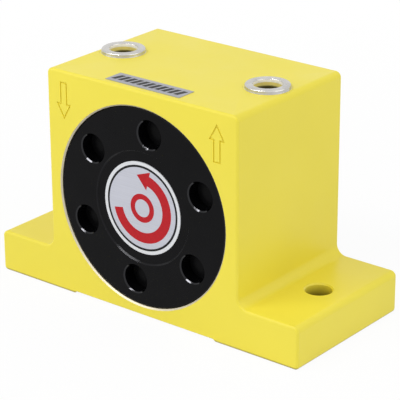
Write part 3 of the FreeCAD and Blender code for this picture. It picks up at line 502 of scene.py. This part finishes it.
def nickel_plate():
    """Nickel over a turned bush: pale grey and softly bright, with faint tool marks."""
    material, tree, shader, place = start_material("nickel_plate", Metallic=1.0)
    shade = add_node(tree, "ShaderNodeHueSaturation", {"Color": srgb("#c4c2be")},
                     {"Value": wandering(tree, place, 4 * MM, 0.9, 1.08)})
    # Tool marks run level round the bush, 4 mm long and 0.2 mm apart.
    marks = (1 / (4 * MM), 1 / (4 * MM), 1 / (0.2 * MM))
    stretched = add_node(tree, "ShaderNodeMapping", {"Scale": marks}, {"Vector": place})
    lines = add_node(tree, "ShaderNodeTexNoise", {"Scale": 1.0, "Detail": 2.0},
                     {"Vector": stretched.outputs["Vector"]}).outputs["Fac"]
    bump = add_node(tree, "ShaderNodeBump", {"Strength": 0.15, "Distance": 0.01 * MM},
                    {"Height": lines})
    feed(tree, shader, Base_Color=shade.outputs["Color"], Normal=bump.outputs["Normal"],
         Roughness=wandering(tree, place, 3 * MM, 0.2, 0.3))
    return material


def cut_metal(name, shade_text, smoothest, roughest, shaded_below=-1.0):
    """Brass or nickel as it was cut: a little uneven where it has begun to dull.

    Below a height it darkens within 0.4 mm: painted shade deep in a bore.
    """
    material, tree, shader, place = start_material(name, Metallic=1.0)
    shade = add_node(tree, "ShaderNodeHueSaturation", {"Color": srgb(shade_text)},
                     {"Value": wandering(tree, place, 5 * MM, 0.9, 1.06)})
    spot = add_node(tree, "ShaderNodeSeparateXYZ", {}, {"Vector": place})
    # Painted shade: below the given height the metal is mixed towards dark olive.
    depth_shade = add_node(tree, "ShaderNodeMapRange",
                   {"From Min": shaded_below, "From Max": shaded_below - 0.4 * MM, "To Max": 0.95},
                   {"Value": spot.outputs["Z"]})
    tone = add_node(tree, "ShaderNodeMix", {"data_type": "RGBA", 7: srgb("#2c2712")},
                    {0: depth_shade.outputs["Result"], 6: shade.outputs["Color"]})
    bump = add_node(tree, "ShaderNodeBump", {"Strength": 0.12, "Distance": 0.01 * MM},
                    {"Height": wandering(tree, place, 0.3 * MM, 0.0, 1.0)})
    feed(tree, shader, Base_Color=tone.outputs[2], Normal=bump.outputs["Normal"],
         Roughness=wandering(tree, place, 2 * MM, smoothest, roughest))
    return material


def turned_metal(name, base, smoothest, roughest, spacing,
                 patch=8 * MM, darkest=0.95, lightest=1.04, relief=0.1):
    """Metal as turned or ground: its tool marks run round the axis, the given spacing apart.

    Its tone wanders between darkest and lightest over the size of a patch.
    """
    material, tree, shader, place = start_material(name, Metallic=1.0)
    shade = add_node(tree, "ShaderNodeHueSaturation", {"Color": base},
                     {"Value": wandering(tree, place, patch, darkest, lightest)})
    lines = turned_lines(tree, place, spacing)
    roughness = add_node(tree, "ShaderNodeMapRange", {"To Min": smoothest, "To Max": roughest},
                         {"Value": lines})
    bump = add_node(tree, "ShaderNodeBump", {"Strength": relief, "Distance": 0.01 * MM},
                    {"Height": lines})
    feed(tree, shader, Base_Color=shade.outputs["Color"], Roughness=roughness.outputs["Result"],
         Normal=bump.outputs["Normal"])
    return material


def seal_rubber():
    """Moulded nitrile rubber: matt black with a fine grain and a faint bloom."""
    material, tree, shader, place = start_material("seal_rubber", IOR=1.52)
    shade = add_node(tree, "ShaderNodeHueSaturation", {"Color": srgb("#1c1c1d")},
                     {"Value": wandering(tree, place, 3 * MM, 0.8, 1.25)})
    bump = add_node(tree, "ShaderNodeBump", {"Strength": 0.3, "Distance": 0.02 * MM},
                    {"Height": wandering(tree, place, 0.3 * MM, 0.0, 1.0, 4.0)})
    feed(tree, shader, Base_Color=shade.outputs["Color"], Normal=bump.outputs["Normal"],
         Roughness=wandering(tree, place, 2 * MM, 0.6, 0.78))
    return material


def finish_node(node, material):
    """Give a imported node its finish."""
    for slot in frame["nodes"][node].material_slots:
        slot.material = material


# Pieces

def engraved_arrow(centre_x, tail_z, direction):
    """The cutter for one outlined arrow on the front face, with its tail at tail_z."""
    sizes = bpy.context.scene.motor_sizes
    neck = tail_z + direction * sizes.arrow_shaft_length
    tip = neck + direction * sizes.arrow_head_length
    half_shaft, half_head = sizes.arrow_shaft_width / 2, sizes.arrow_head_width / 2
    right_side = [(half_shaft, tail_z), (half_shaft, neck), (half_head, neck)]
    left_side = [(-x, z) for x, z in reversed(right_side)]
    start_y = FRONT_Y - sizes.groove_depth
    corners = [Vector((centre_x + x, start_y, z)) for x, z in right_side + [(0, tip)] + left_side]
    cutter = draw_outline(corners)
    keep_rim(sizes.groove_width)
    thicken(Vector((0, 2 * sizes.groove_depth, 0)))
    return cutter


class MOTOR_OT_housing(bpy.types.Operator):
    """Engrave and paint the housing, and bare the metal of its bore"""
    bl_idname = "motor.housing"
    bl_label = "Housing"

    def soft_form(self):
        """The block's form with the rounder edges that its coat gives it.

        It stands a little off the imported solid, so that only its rounded edges cut.
        """
        sizes = bpy.context.scene.motor_sizes
        off = 0.02 * MM
        low_y, high_y = CAD_LOW.y - off, CAD_HIGH.y + off
        half_block, half_length = sizes.block_width / 2 + off, CAD_HIGH.x + off
        # The solid has 2.2 mm outside and 3.5 mm inside, so of them only the lowest are cut.
        ground, outer, inner = 1.5 * MM, 2.1 * MM, 3.7 * MM
        right_side = [(half_length, -off, ground), (half_length, FOOT_Z + off, outer),
                      (half_block, FOOT_Z + off, inner), (half_block, TOP_Z + off, outer)]
        left_side = [(-x, z, radius) for x, z, radius in reversed(right_side)]
        corners = [(Vector((x, low_y, z)), radius) for x, z, radius in right_side + left_side]
        form = draw_outline([corner for corner, radius in corners])
        for corner, radius in corners:
            choose("verts", lambda vertex: (vertex.co - corner).length < off)
            bpy.ops.mesh.bevel(offset=radius, segments=12, affect="VERTICES")
        thicken(Vector((0, high_y - low_y, 0)))
        choose("edges", lambda edge: abs(edge.verts[0].co.y - edge.verts[1].co.y) < off)
        bpy.ops.mesh.bevel(offset=sizes.face_edge, segments=5, affect="EDGES")
        return form

    def execute(self, context):
        housing = merged_copy("housing")
        inlet_arrow = engraved_arrow(centre_x=-32.7 * MM, tail_z=76.1 * MM, direction=-1)
        outlet_arrow = engraved_arrow(centre_x=31.8 * MM, tail_z=62.8 * MM, direction=1)
        for cutter in (inlet_arrow, outlet_arrow):
            apply_modifier(housing, "BOOLEAN", object=cutter, operation="DIFFERENCE",
                           solver="EXACT")
            bpy.data.objects.remove(cutter)
        form = self.soft_form()
        apply_modifier(housing, "BOOLEAN", object=form, operation="INTERSECT", solver="EXACT")
        bpy.data.objects.remove(form)
        housing.data.materials.append(yellow_enamel())
        housing.data.materials.append(bare_aluminium())
        for face in housing.data.polygons:
            in_bore = around_axis(face.center) < BORE_MOUTH_RADIUS
            # The pads and the relief between them, 0.8 mm up, are bare metal.
            underside = face.center.z < 0.9 * MM and face.normal.z < -0.97
            face.material_index = 1 if in_bore or underside else 0
        bpy.ops.object.mode_set(mode="EDIT")
        choose("edges", lambda edge: len({face.material_index for face in edge.link_faces}) > 1)
        bpy.ops.mesh.mark_sharp()
        close_piece(housing, "housing_block", "housing_body")
        apply_modifier(housing, "WEIGHTED_NORMAL", keep_sharp=True, weight=100)
        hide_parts("housing")
        return {"FINISHED"}


class MOTOR_OT_covers(bpy.types.Operator):
    """Finish the two covers and their seals"""
    bl_idname = "motor.covers"
    bl_label = "Covers"

    def execute(self, context):
        anodised = black_anodised()
        rubber = seal_rubber()
        for end in ("front", "rear"):
            finish_node(end + "_cover", anodised)
            finish_node(end + "_cover_oring", rubber)
        return {"FINISHED"}


class MOTOR_OT_disc_label(bpy.types.Operator):
    """Print the round label: a ring line, a curved arrow and a ring in the middle"""
    bl_idname = "motor.disc_label"
    bl_label = "Disc label"

    def flat_ring(self, radius, width, vertices=96):
        """A ring on the label's face, open in edit mode."""
        piece = start_piece(bpy.ops.mesh.primitive_circle_add, vertices=vertices, radius=radius,
                            fill_type="NGON", location=(0, LABEL_FACE_Y, AXIS_Z),
                            rotation=(math.radians(90), 0, 0))
        keep_rim(width)
        return piece

    def execute(self, context):
        sizes = context.scene.motor_sizes
        colours = context.scene.motor_colours
        foil = label_foil("disc_foil", colours.disc_foil, colours.disc_lacquer,
                          sizes.ring_line_radius - sizes.ring_line_width / 2)
        finish_node("label_disc", foil)
        film = Vector((0, -sizes.print_thickness, 0))
        red = screen_ink("red_ink", colours.red_ink)
        black = screen_ink("black_ink", colours.black_ink)

        line = self.flat_ring(sizes.ring_line_radius, sizes.ring_line_width)
        thicken(film)
        close_piece(line, "disc_ring_line", "housing_body", (black,))

        hub = self.flat_ring(sizes.hub_mark_radius, sizes.hub_mark_width, 64)
        thicken(film)
        close_piece(hub, "disc_hub_mark", "housing_body", (red,))

        # A band over two thirds of a turn, open at the upper left, with a head at its upper end.
        band = self.flat_ring(sizes.turn_mark_radius, sizes.turn_mark_width)
        first, last = math.radians(-170), math.radians(75)

        def outside_the_band(face):
            # The ring stands upright by its object's rotation; in its own mesh, +Y is up.
            centre = face.calc_center_median()
            return not first < math.atan2(centre.y, centre.x) < last

        choose("faces", outside_the_band)
        bpy.ops.mesh.delete(type="FACE")
        thicken(film)
        middle = sizes.turn_mark_radius - sizes.turn_mark_width / 2
        half_head = sizes.turn_mark_width * 0.95
        head_length = half_head * 1.45
        radial = Vector((math.cos(last), 0, math.sin(last)))
        ahead = Vector((-math.sin(last), 0, math.cos(last)))
        root = Vector((0, LABEL_FACE_Y, AXIS_Z)) + radial * middle
        head = draw_outline([root - radial * half_head, root + radial * half_head,
                             root + ahead * head_length])
        thicken(film)
        mark = join_pieces([band, head])
        close_piece(mark, "disc_turn_mark", "housing_body", (red,))
        return {"FINISHED"}


class MOTOR_OT_strip_label(bpy.types.Operator):
    """Print the strip on the top face: a row of slanted bars"""
    bl_idname = "motor.strip_label"
    bl_label = "Strip label"

    def execute(self, context):
        sizes = context.scene.motor_sizes
        colours = context.scene.motor_colours
        foil = label_foil("strip_foil", colours.strip_foil, colours.strip_foil, 0)
        finish_node("top_label", foil)
        low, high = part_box("top_label")
        centre = (low + high) / 2
        film = Vector((0, 0, sizes.print_thickness))
        black = screen_ink("strip_ink", colours.black_ink)

        run = sizes.hatch_spacing * (sizes.hatch_count - 1) + sizes.hatch_width + sizes.hatch_slant
        start = centre.x - run / 2
        foot, top = centre.y - sizes.hatch_height / 2, centre.y + sizes.hatch_height / 2
        bar = draw_outline([
            Vector((start, foot, high.z)), Vector((start + sizes.hatch_width, foot, high.z)),
            Vector((start + sizes.hatch_width + sizes.hatch_slant, top, high.z)),
            Vector((start + sizes.hatch_slant, top, high.z))])
        thicken(film)
        apply_modifier(bar, "ARRAY", count=sizes.hatch_count, use_relative_offset=False,
                       use_constant_offset=True,
                       constant_offset_displace=(sizes.hatch_spacing, 0, 0))
        close_piece(bar, "strip_hatch", "housing_body", (black,))
        return {"FINISHED"}


class MOTOR_OT_ports(bpy.types.Operator):
    """Turn the two port bushes, cut their threads and finish the air nozzle"""
    bl_idname = "motor.ports"
    bl_label = "Ports"

    def turned_bush(self, x, outer, bottom, top):
        """A bush with its bore at the root of the thread, spun from its half section."""
        sizes = bpy.context.scene.motor_sizes
        bore, mouth = sizes.thread_major_radius, sizes.mouth_radius
        collar, shelf = outer - sizes.painted_margin, TOP_Z + 0.05 * MM
        chamfer = 0.3 * MM
        section = [(bore, bottom), (outer, bottom), (outer, shelf), (collar, shelf),
                   (collar, top - chamfer), (collar - chamfer, top),
                   (mouth, top), (bore, top - (mouth - bore)),
                   (bore, top - sizes.plated_depth)]
        bush = draw_outline([Vector((x + radius, 0, z)) for radius, z in section])
        bpy.ops.mesh.delete(type="ONLY_FACE")
        bpy.ops.mesh.select_all(action="SELECT")
        bpy.ops.mesh.spin(steps=96, angle=math.radians(360), center=(x, 0, 0), axis=(0, 0, 1))
        bpy.ops.mesh.select_all(action="SELECT")
        bpy.ops.mesh.remove_doubles(threshold=1e-6)
        bpy.ops.mesh.normals_make_consistent(inside=False)
        return bush

    def thread_ridge(self, x, bottom, top):
        """The ridge of the thread: a four-cornered section swept up a helix, closed at its ends.

        It starts a pitch above the bush's lower end and stops below the chamfer of the mouth.
        """
        sizes = bpy.context.scene.motor_sizes
        pitch = sizes.thread_pitch
        # The root lies just inside the wall of the bush.
        root, crest = sizes.thread_major_radius + 0.03 * MM, sizes.thread_minor_radius
        half_root, half_crest = 0.45 * pitch, 0.08 * pitch
        start = bottom + pitch
        turns = int((top - bottom - 2 * MM) / pitch) - 1
        section = [(root, -half_root), (root, half_root), (crest, half_crest), (crest, -half_crest)]
        ridge = draw_outline([Vector((radius, 0, start + z)) for radius, z in section])
        apply_modifier(ridge, "SCREW", axis="Z", screw_offset=pitch, iterations=turns, steps=48,
                       render_steps=48, use_merge_vertices=False)
        bpy.ops.object.mode_set(mode="EDIT")
        bpy.ops.mesh.select_all(action="SELECT")
        bpy.ops.mesh.remove_doubles(threshold=1e-7)
        bpy.ops.mesh.fill_holes(sides=4)
        bpy.ops.mesh.select_all(action="SELECT")
        bpy.ops.mesh.normals_make_consistent(inside=False)
        bpy.ops.transform.translate(value=(x, 0, 0))
        return ridge

    def execute(self, context):
        sizes = context.scene.motor_sizes
        nickel = nickel_plate()
        # Plating over the coarse cut of the bore scatters light almost as evenly as paint.
        matt_nickel = cut_metal("matt_nickel", "#fbf8ee", 0.75, 0.85)
        # Painted shade deep in the ports: the tapped brass darkens from 2.25 mm below the top of
        # the model.
        shade_height = CAD_HIGH.z - 2.25 * MM
        brass = cut_metal("tapped_brass", "#f6ea9a", 0.75, 0.85, shaded_below=shade_height)
        enamel = bpy.data.materials.get("yellow_enamel") or yellow_enamel()
        finishes = (nickel, brass, enamel, matt_nickel)
        for node in ("inlet_port_bush", "outlet_port_bush"):
            low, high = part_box(node)
            x, outer = (low.x + high.x) / 2, (high.x - low.x) / 2
            collar = outer - sizes.painted_margin
            bush = self.turned_bush(x, outer, low.z, high.z)
            apply_modifier(bush, "BEVEL", width=sizes.edge_break, segments=2, limit_method="ANGLE",
                           angle_limit=math.radians(25))
            bush = join_pieces([bush, self.thread_ridge(x, low.z, high.z)])
            for finish in finishes:
                bush.data.materials.append(finish)
            for face in bush.data.polygons:
                radius = math.hypot(face.center.x - x, face.center.y)
                depth = high.z - face.center.z
                in_bore = radius < sizes.thread_major_radius + 0.06 * MM and depth > 0.3 * MM
                on_margin = radius > collar + 0.1 * MM and face.center.z > TOP_Z - 0.3 * MM
                if in_bore:
                    finish = matt_nickel if depth < sizes.plated_depth else brass
                else:
                    finish = enamel if on_margin else nickel
                face.material_index = finishes.index(finish)
            close_piece(bush, node + "_turned", "housing_body")
            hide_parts(node)
        finish_node("air_nozzle", cut_metal("nozzle_brass", "#e3c46a", 0.22, 0.34))
        return {"FINISHED"}


class MOTOR_OT_bearings(bpy.types.Operator):
    """Finish the rings, balls, cages and seals of both bearings, and what loads them"""
    bl_idname = "motor.bearings"
    bl_label = "Bearings"

    def execute(self, context):
        # Ground and hardened steel is bright and smooth; the balls are polished.
        races = turned_metal("bearing_steel", srgb("#c9cbce"), 0.14, 0.22, 0.4 * MM)
        balls = turned_metal("polished_balls", srgb("#d4d6d9"), 0.05, 0.08, 2 * MM)
        cages = cut_metal("cage_brass", "#e3c46a", 0.22, 0.34)
        seals = seal_rubber()
        for end in ("front", "rear"):
            finish_node(end + "_bearing_outer_ring", races)
            finish_node(end + "_bearing_inner_ring", races)
            finish_node(end + "_bearing_balls", balls)
            finish_node(end + "_bearing_cage", cages)
            finish_node(end + "_bearing_seals", seals)
        shim = turned_metal("shim_steel", srgb("#b9bcc0"), 0.2, 0.3, 0.5 * MM)
        finish_node("front_bearing_shim", shim)
        # Tempering leaves a dark blue film on the spring.
        spring = turned_metal("blued_spring_steel", srgb("#5d6470"), 0.25, 0.38, 0.5 * MM)
        finish_node("rear_preload_spring", spring)
        return {"FINISHED"}


class MOTOR_OT_rotor(bpy.types.Operator):
    """Finish the turbine wheel, its slugs, shaft, key and circlips"""
    bl_idname = "motor.rotor"
    bl_label = "Rotor"

    def execute(self, context):
        # Milled aluminium under thin gold anodising is satin, with the marks of the cutter.
        gold = turned_metal("gold_anodised", context.scene.motor_colours.gold_anodising,
                            0.28, 0.4, 0.6 * MM, 10 * MM, 0.94, 1.05, 0.2)
        finish_node("rotor_wheel", gold)
        # The slugs are sawn from bar, the shaft is ground, and the key is drawn.
        slugs = turned_metal("slug_steel", srgb("#8f9296"), 0.3, 0.42, 0.6 * MM)
        finish_node("imbalance_slugs", slugs)
        shaft = turned_metal("shaft_steel", srgb("#c2c4c8"), 0.15, 0.24, 0.3 * MM)
        finish_node("rotor_shaft", shaft)
        key = turned_metal("key_steel", srgb("#a9acb1"), 0.25, 0.35, 0.6 * MM)
        finish_node("rotor_key", key)
        # Phosphate against rust is dark and dull.
        circlips = turned_metal("phosphated_steel", srgb("#4a4c50"), 0.4, 0.52, 0.4 * MM)
        finish_node("shaft_circlips", circlips)
        return {"FINISHED"}


class MOTOR_OT_stage(bpy.types.Operator):
    """Lay the floor, hang the soft boxes and set up the camera"""
    bl_idname = "motor.stage"
    bl_label = "Stage"

    def soft_box(self, name, position, width, height, power, along=Vector((1, 0, 0))):
        """A lamp that faces the middle of the motor, with its width laid along a direction."""
        bpy.ops.object.light_add(type="AREA", location=position)
        lamp = bpy.context.object
        lamp.name = name
        lamp.data.shape = "RECTANGLE"
        lamp.data.size = width
        lamp.data.size_y = height
        lamp.data.energy = power
        away = (position - MIDDLE).normalized()
        across = (along - away * along.dot(away)).normalized()
        axes = (across, away.cross(across), away)
        lamp.rotation_euler = Matrix(axes).transposed().to_euler()

    def bright_rays(self, tree):
        """1 for rays that should find a white background: camera, glossy and transmission."""
        path = add_node(tree, "ShaderNodeLightPath")
        total = add_node(tree, "ShaderNodeMath", {"operation": "MAXIMUM"},
                         {0: path.outputs["Is Camera Ray"], 1: path.outputs["Is Glossy Ray"]})
        return add_node(tree, "ShaderNodeMath", {"operation": "MAXIMUM"},
                        {0: total.outputs[0], 1: path.outputs["Is Transmission Ray"]}).outputs[0]

    def lay_floor(self):
        """A pale floor that looks white to the camera and keeps the motor's shadow."""
        bpy.ops.object.select_all(action="DESELECT")
        bpy.ops.mesh.primitive_plane_add(size=8.0, location=(0, 0, 0))
        floor = bpy.context.object
        floor.name = "studio_floor"
        material, tree, shader, place = start_material("studio_floor", Roughness=0.9,
                                                       Specular_IOR_Level=0.0)
        shader.inputs["Base Color"].default_value = srgb("#f8f8f8")
        glow = add_node(tree, "ShaderNodeEmission", {"Strength": 1.0})
        # Away from the motor, where no shadow falls, the floor is as white as the sky.
        away = add_node(tree, "ShaderNodeVectorMath", {"operation": "LENGTH"}, {0: place})
        whiteness = add_node(tree, "ShaderNodeMapRange",
                             {"From Min": 0.1, "From Max": 0.35, "To Min": 0.94, "To Max": 1.0},
                             {"Value": away.outputs["Value"]})
        share = add_node(tree, "ShaderNodeMath", {"operation": "MULTIPLY"},
                         {0: self.bright_rays(tree), 1: whiteness.outputs["Result"]})
        mixed = add_node(tree, "ShaderNodeMixShader", {},
                         {0: share.outputs[0], 1: shader.outputs[0], 2: glow.outputs[0]})
        tree.links.new(mixed.outputs[0], tree.nodes["Material Output"].inputs["Surface"])
        floor.data.materials.append(material)

    def fill_sky(self, strength):
        """An even sky for the light, which looks white behind the motor."""
        world = bpy.data.worlds.new("studio_sky")
        world.use_nodes = True
        tree = world.node_tree
        sky = tree.nodes["Background"]
        sky.inputs["Color"].default_value = srgb("#ffffff")
        sky.inputs["Strength"].default_value = strength
        white = add_node(tree, "ShaderNodeBackground", {"Color": srgb("#ffffff"), "Strength": 1.0})
        mixed = add_node(tree, "ShaderNodeMixShader", {},
                         {0: self.bright_rays(tree), 1: sky.outputs[0], 2: white.outputs[0]})
        tree.links.new(mixed.outputs[0], tree.nodes["World Output"].inputs["Surface"])
        bpy.context.scene.world = world

    def execute(self, context):
        studio = context.scene.motor_studio
        self.lay_floor()
        self.fill_sky(studio.sky_strength)

        az, el = studio.azimuth, studio.elevation
        back = Vector((math.sin(az) * math.cos(el), -math.cos(az) * math.cos(el), math.sin(el)))
        right = Vector((math.cos(az), math.sin(az), 0.0))
        up = back.cross(right)
        cosine, sine = math.cos(studio.roll), math.sin(studio.roll)
        position = (MIDDLE + back * studio.distance + right * studio.side_shift
                    + up * studio.up_shift)
        bpy.ops.object.camera_add(location=position)
        camera = context.object
        camera.name = "photo_camera"
        axes = (right * cosine + up * sine, up * cosine - right * sine, back)
        camera.rotation_euler = Matrix(axes).transposed().to_euler()
        camera.data.sensor_width = SENSOR_WIDTH
        camera.data.lens = studio.focus_pixels / PHOTO_PIXELS * SENSOR_WIDTH
        camera.data.clip_start = 0.01
        context.scene.camera = camera

        # The key strip hangs where the broken edges of the wrench holes mirror it to the camera.
        self.soft_box("key_strip_box", Vector((-0.28, -0.91, 1.27)), 1.05, 0.10, studio.key_power,
                      along=Vector((-0.94, 0.14, 0.31)))
        self.soft_box("top_soft_box", Vector((0.5, -0.2, 1.35)), 0.9, 0.9, studio.top_power)
        self.soft_box("left_soft_box", Vector((-1.1, -1.1, 0.7)), 0.8, 0.8, studio.left_power)
        self.soft_box("right_soft_box", Vector((1.3, 0.3, 0.9)), 1.3, 1.3, studio.right_power)
        context.scene.view_settings.view_transform = "Standard"
        return {"FINISHED"}


class MOTOR_PT_panel(bpy.types.Panel):
    """Steps, sizes and colours of the motor"""
    bl_idname = "MOTOR_PT_panel"
    bl_label = "Turbine vibration motor"
    bl_space_type = "VIEW_3D"
    bl_region_type = "UI"
    bl_category = "Motor"

    def draw(self, context):
        for operator in OPERATORS:
            self.layout.operator(operator.bl_idname)
        for group in (context.scene.motor_sizes, context.scene.motor_colours,
                      context.scene.motor_studio):
            box = self.layout.box()
            for name in group.__annotations__:
                box.prop(group, name)


OPERATORS = (MOTOR_OT_housing, MOTOR_OT_covers, MOTOR_OT_disc_label, MOTOR_OT_strip_label,
             MOTOR_OT_ports, MOTOR_OT_bearings, MOTOR_OT_rotor, MOTOR_OT_stage)
CLASSES = (MotorSizes, MotorColours, StudioSettings) + OPERATORS + (MOTOR_PT_panel,)


def register():
    for cls in CLASSES:
        bpy.utils.register_class(cls)
    bpy.types.Scene.motor_sizes = PointerProperty(type=MotorSizes)
    bpy.types.Scene.motor_colours = PointerProperty(type=MotorColours)
    bpy.types.Scene.motor_studio = PointerProperty(type=StudioSettings)


def unregister():
    del bpy.types.Scene.motor_studio
    del bpy.types.Scene.motor_colours
    del bpy.types.Scene.motor_sizes
    for cls in reversed(CLASSES):
        bpy.utils.unregister_class(cls)


def main():
    """Make every piece in order."""
    register()
    bpy.ops.motor.housing()
    bpy.ops.motor.covers()
    bpy.ops.motor.disc_label()
    bpy.ops.motor.strip_label()
    bpy.ops.motor.ports()
    bpy.ops.motor.bearings()
    bpy.ops.motor.rotor()
    bpy.ops.motor.stage()


if __name__ == "__main__":
    main()
